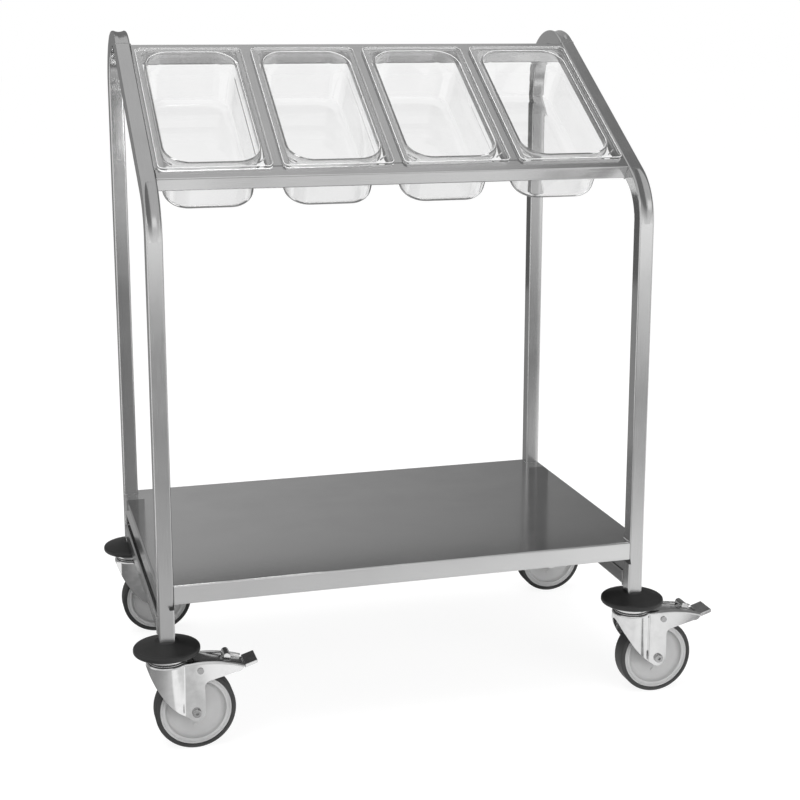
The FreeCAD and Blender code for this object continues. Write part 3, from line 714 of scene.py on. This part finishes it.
# Wheels
# Grey moulded centres turn on the axle sleeve, with a dished web and a flat rim that the dark rubber tyre
# is moulded round.
wheel_skin = {"Tone": 0.47, "Tone Spread": 0.02, "Smooth": 0.38, "Rough": 0.52, "Grain Size": 0.0007}
wheel_bump = 0.06
wheel_plastic = moulded("wheel plastic", wheel_skin, 0.0, wheel_bump, fine_relief)
tyre_skin = {"Tone": 0.030, "Tone Spread": 0.008, "Smooth": 0.50, "Rough": 0.68, "Grain Size": 0.0009}
tyre_bump = 0.12
tyre_rubber = moulded("tyre rubber", tyre_skin, 0.0, tyre_bump, rubber_relief)
for corner in corners:
    finish(corner + "_wheel_centre", wheel_plastic)
    finish(corner + "_tyre", tyre_rubber)

# Foot brakes
# A zinc-plated pedal rocks on a rivet through the two horns. It has a nub to let it off and a pad at the
# end to press it down, and a rubber shoe underneath that meets the tyre.
shoe_skin = {"Tone": 0.040, "Tone Spread": 0.01, "Smooth": 0.5, "Rough": 0.65}
shoe_bump = 0.08
shoe_rubber = moulded("shoe rubber", shoe_skin, 0.0, shoe_bump, rubber_relief)
for corner in ("front_left", "front_right"):
    finish(corner + "_pedal", bright_zinc)
    finish(corner + "_pedal_pivot", dull_zinc)
    finish(corner + "_brake_shoe", shoe_rubber)

# Studio
# A pale floor runs out to a pale horizon under a greyer ceiling. Soft boxes light the trolley from the
# front right and from above, and grey cards, seen only in reflections, give the steel its darker faces.
floor_size = 60.0
floor_tone = 0.86
floor_roughness = 0.9
floor_glow = 1.20
floor_glow_share = 0.72
card_lift = 0.003
second_lift = 2 * card_lift
third_lift = 3 * card_lift
# The greys of each card are pairs of a place along it and the tone there.
back_card_y = 0.55
back_card_heights = (0.0, 0.56, 1.0, 1.6)
low_back_greys = ((-3.0, 0.26), (-0.55, 0.30), (-0.35, 0.40), (0.30, 0.28), (0.75, 0.18), (3.0, 0.09))
high_back_greys = ((-3.0, 0.26), (-0.62, 0.30), (-0.45, 0.22), (-0.20, 0.14), (0.75, 0.14), (3.0, 0.09))
top_back_greys = ((-3.0, 0.26), (-0.62, 0.30), (-0.45, 0.22), (-0.20, 0.22), (0.05, 0.42), (0.75, 0.42),
                  (3.0, 0.20))
front_card_reach = (-2.4, 0.5, 4.6)
front_card_strength = 2.0
left_front_greys = ((-9.0, 0.95), (-6.5, 0.90), (-6.1, 0.74), (-5.75, 0.60), (-5.0, 0.37), (-4.3, 0.26),
                    (-3.7, 0.22), (-2.0, 0.22), (-1.5, 0.26), (-1.1, 0.30), (-0.85, 0.38))
right_front_greys = ((-9.0, 1.00), (-6.2, 0.85), (-5.2, 0.60), (-4.5, 0.48), (-3.6, 0.45), (-3.0, 0.36),
                     (-2.4, 0.25), (-1.7, 0.26), (-1.4, 0.33), (-1.1, 0.46), (-0.85, 0.50))
near_card_reach = (-1.0, -0.66)
near_card_greys = ((-1.3, 0.40), (-0.86, 0.42), (-0.60, 0.60), (-0.36, 0.68), (0.0, 0.74), (0.30, 0.86),
                   (0.60, 0.97), (1.0, 1.0))
fork_card_reach = (-0.66, -0.20)
fork_card_strength = 1.2
fork_card_greys = ((-1.3, 0.22), (-0.75, 0.27), (-0.60, 0.36), (-0.50, 0.46), (-0.44, 0.54), (-0.352, 0.57),
                   (-0.338, 0.97), (-0.22, 0.97), (-0.18, 0.70), (0.0, 0.78), (0.15, 0.80), (0.32, 0.80),
                   (0.36, 0.86), (1.0, 0.88))
crease_card_corners = ((0.625, -0.605), (0.700, -0.605), (0.500, -0.340), (0.425, -0.340))
crease_card_greys = ((0.425, 0.33), (0.700, 0.33))
left_edge_span = (-1.3, -0.20)
left_edge_greys = ((-0.20, 0.36), (-0.05, 0.25), (0.20, 0.20))
right_edge_span = (-0.20, 1.0)
right_edge_greys = ((-0.20, 0.88), (0.20, 0.80))
behind_card_span = (-0.60, 0.60)
behind_card_greys = ((0.20, 0.15), (0.54, 0.15))
under_card_z = 0.231
under_card_reach = (-0.28, 0.28)
under_card_greys = ((-0.43, 0.06), (0.34, 0.06))
high_card_reach = (-2.5, 1.0)
high_card_y = -4.6
high_card_greys = ((2.6, 0.8), (3.0, 1.0), (4.2, 1.0))
high_card_strength = 1.2
flag_gap = 0.035
flag_width = 0.040
flag_cover = 0.45
flag_greys = ((0.25, 0.02), (1.0, 0.02))
horizon_band = (0.06, 0.40)
ceiling_span = (0.335, 0.377)
ceiling_greys = (0.66, 0.22)
light_aim = (0.0, 0.0, 0.55)
front_box_place = (1.4, -4.6, 2.6)
front_box_size = (4.0, 2.4)
front_box_watts = 110
top_box_place = (-0.6, -0.2, 3.2)
top_box_size = (2.2, 1.8)
top_box_watts = 55
camera_place = (-0.6934, -2.5027, 1.1142)
camera_heading = 0.2744
camera_pitch = 0.2051
camera_lens = 69.16
camera_shift = -0.07


def rectangle(name, outline, material):
    """A flat sheet of the stage."""
    mesh = bpy.data.meshes.new(name)
    mesh.from_pydata(outline, [], [(0, 1, 2, 3)])
    sheet = new_piece(name, mesh, material)
    return sheet


def floor_material():
    """White to the eye, in metal and through clear plastic, with the trolley's shadow left on it."""
    material = bpy.data.materials.new("floor")
    material.use_nodes = True
    tree = material.node_tree
    shader = tree.nodes["Principled BSDF"]
    shader.inputs["Base Color"].default_value = (floor_tone, floor_tone, floor_tone, 1)
    shader.inputs["Roughness"].default_value = floor_roughness
    shader.inputs["Specular IOR Level"].default_value = 0.0
    ray = put(tree, "ShaderNodeLightPath").outputs
    seen = maths(tree, "MAXIMUM", ray["Is Camera Ray"], ray["Is Glossy Ray"])
    seen = maths(tree, "MAXIMUM", seen, ray["Is Transmission Ray"])
    glow = put(tree, "ShaderNodeEmission", {"Color": (1, 1, 1, 1), "Strength": floor_glow}).outputs[0]
    share = maths(tree, "MULTIPLY", seen, floor_glow_share)
    mixed = put(tree, "ShaderNodeMixShader", {0: share, 1: shader.outputs[0], 2: glow})
    feed(tree, tree.nodes["Material Output"].inputs["Surface"], mixed.outputs[0])
    return material


def span(greys):
    """Where the first and the last grey of a card lie."""
    return greys[0][0], greys[-1][0]


def grey_card(name, outline, axis, greys, strength=1.0, cover=1.0):
    """A card graded along one axis, which only reflections see. A cover under 1 lets some light through."""
    material = bpy.data.materials.new(name)
    material.use_nodes = True
    tree = material.node_tree
    whole_place = put(tree, "ShaderNodeTexCoord").outputs["Object"]
    place = put(tree, "ShaderNodeSeparateXYZ", {0: whole_place}).outputs[axis]
    first, last = span(greys)
    ramp = put(tree, "ShaderNodeValToRGB", {"Fac": spread(tree, place, first, last, 0.0, 1.0)})
    steps = ramp.color_ramp.elements
    while len(steps) < len(greys):
        steps.new(1.0)
    for step, (at, tone) in zip(steps, greys):
        step.position = (at - first) / (last - first)
        step.color = (tone, tone, tone, 1)
    glow = put(tree, "ShaderNodeEmission", {"Color": ramp.outputs["Color"], "Strength": strength}).outputs[0]
    open_way = put(tree, "ShaderNodeBsdfTransparent").outputs[0]
    mixed = put(tree, "ShaderNodeMixShader", {0: cover, 1: open_way, 2: glow})
    feed(tree, tree.nodes["Material Output"].inputs["Surface"], mixed.outputs[0])
    card = rectangle(name, outline, material)
    card.visible_camera = False
    card.visible_diffuse = False
    card.visible_transmission = False
    card.visible_shadow = False


def soft_box(name, place, size, watts):
    """A flat lamp turned to the middle of the trolley, which reflections don't see."""
    lamp = bpy.data.lights.new(name, "AREA")
    lamp.shape = "RECTANGLE"
    lamp.size, lamp.size_y = size
    lamp.energy = watts
    box = bpy.data.objects.new(name, lamp)
    box.location = place
    box.rotation_euler = (Vector(light_aim) - Vector(place)).to_track_quat("-Z", "Y").to_euler()
    box.visible_camera = False
    box.visible_glossy = False
    bpy.context.scene.collection.objects.link(box)


def lying_card(name, across, along_y, height, axis, greys, strength=1.0):
    """A level grey card."""
    left, right = across
    near, far = along_y
    outline = [(left, near, height), (right, near, height), (right, far, height), (left, far, height)]
    grey_card(name, outline, axis, greys, strength)


def standing_card(name, across, y, upright, axis, greys, strength=1.0, cover=1.0):
    """An upright grey card that faces along Y."""
    left, right = across
    low, high = upright
    outline = [(left, y, low), (right, y, low), (right, y, high), (left, y, high)]
    grey_card(name, outline, axis, greys, strength, cover)


half = floor_size / 2
rectangle("floor", [(-half, -half, 0), (half, -half, 0), (half, half, 0), (-half, half, 0)], floor_material())
foot, waist, neck, head = back_card_heights
for name, upright, greys in (
        ("low_back", (foot, waist), low_back_greys),
        ("high_back", (waist, neck), high_back_greys),
        ("top_back", (neck, head), top_back_greys)):
    standing_card(name, span(greys), back_card_y, upright, "X", greys)
first, turn, last = front_card_reach
for name, across, greys in (
        ("left_front", (first, turn), left_front_greys),
        ("right_front", (turn, last), right_front_greys)):
    lying_card(name, across, span(greys), card_lift, "Y", greys, front_card_strength)
lying_card("near_card", span(near_card_greys), near_card_reach, second_lift, "X", near_card_greys)
lying_card("fork_card", span(fork_card_greys), fork_card_reach, second_lift, "X", fork_card_greys,
           fork_card_strength)
crease_corners = [(x, y, third_lift) for x, y in crease_card_corners]
grey_card("crease_card", crease_corners, "X", crease_card_greys)
for name, across, greys in (
        ("left_edge", left_edge_span, left_edge_greys),
        ("right_edge", right_edge_span, right_edge_greys),
        ("behind", behind_card_span, behind_card_greys)):
    lying_card(name, across, span(greys), second_lift, "Y", greys)
lying_card("under_card", span(under_card_greys), under_card_reach, under_card_z, "X", under_card_greys)
standing_card("high_card", high_card_reach, high_card_y, span(high_card_greys), "Z", high_card_greys,
              high_card_strength)
for side in ("left", "right"):
    low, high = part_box(side + "_back_tube")
    leg_x = (low.x + high.x) / 2
    across = (leg_x - flag_width / 2, leg_x + flag_width / 2)
    flag_y = back_y - tube_size - flag_gap
    standing_card(side + "_flag", across, flag_y, span(flag_greys), "Z", flag_greys, cover=flag_cover)
soft_box("front_box", front_box_place, front_box_size, front_box_watts)
soft_box("top_box", top_box_place, top_box_size, top_box_watts)

world = bpy.data.worlds.new("studio")
bpy.context.scene.world = world
world.use_nodes = True
sky = world.node_tree
way = put(sky, "ShaderNodeSeparateXYZ", {0: put(sky, "ShaderNodeTexCoord").outputs["Generated"]}).outputs
ceiling = spread(sky, way["X"], *ceiling_span, *ceiling_greys)
brightness = spread(sky, way["Z"], *horizon_band, 1.0, ceiling)
feed(sky, sky.nodes["Background"].inputs["Color"], grey(sky, brightness))

camera = bpy.data.cameras.new("camera")
camera.lens = camera_lens
camera.shift_y = camera_shift
viewer = bpy.data.objects.new("camera", camera)
viewer.location = camera_place
viewer.rotation_euler = (math.pi / 2 - camera_pitch, 0, -camera_heading)
bpy.context.scene.collection.objects.link(viewer)
bpy.context.scene.camera = viewer
bpy.context.scene.view_settings.view_transform = "Standard"
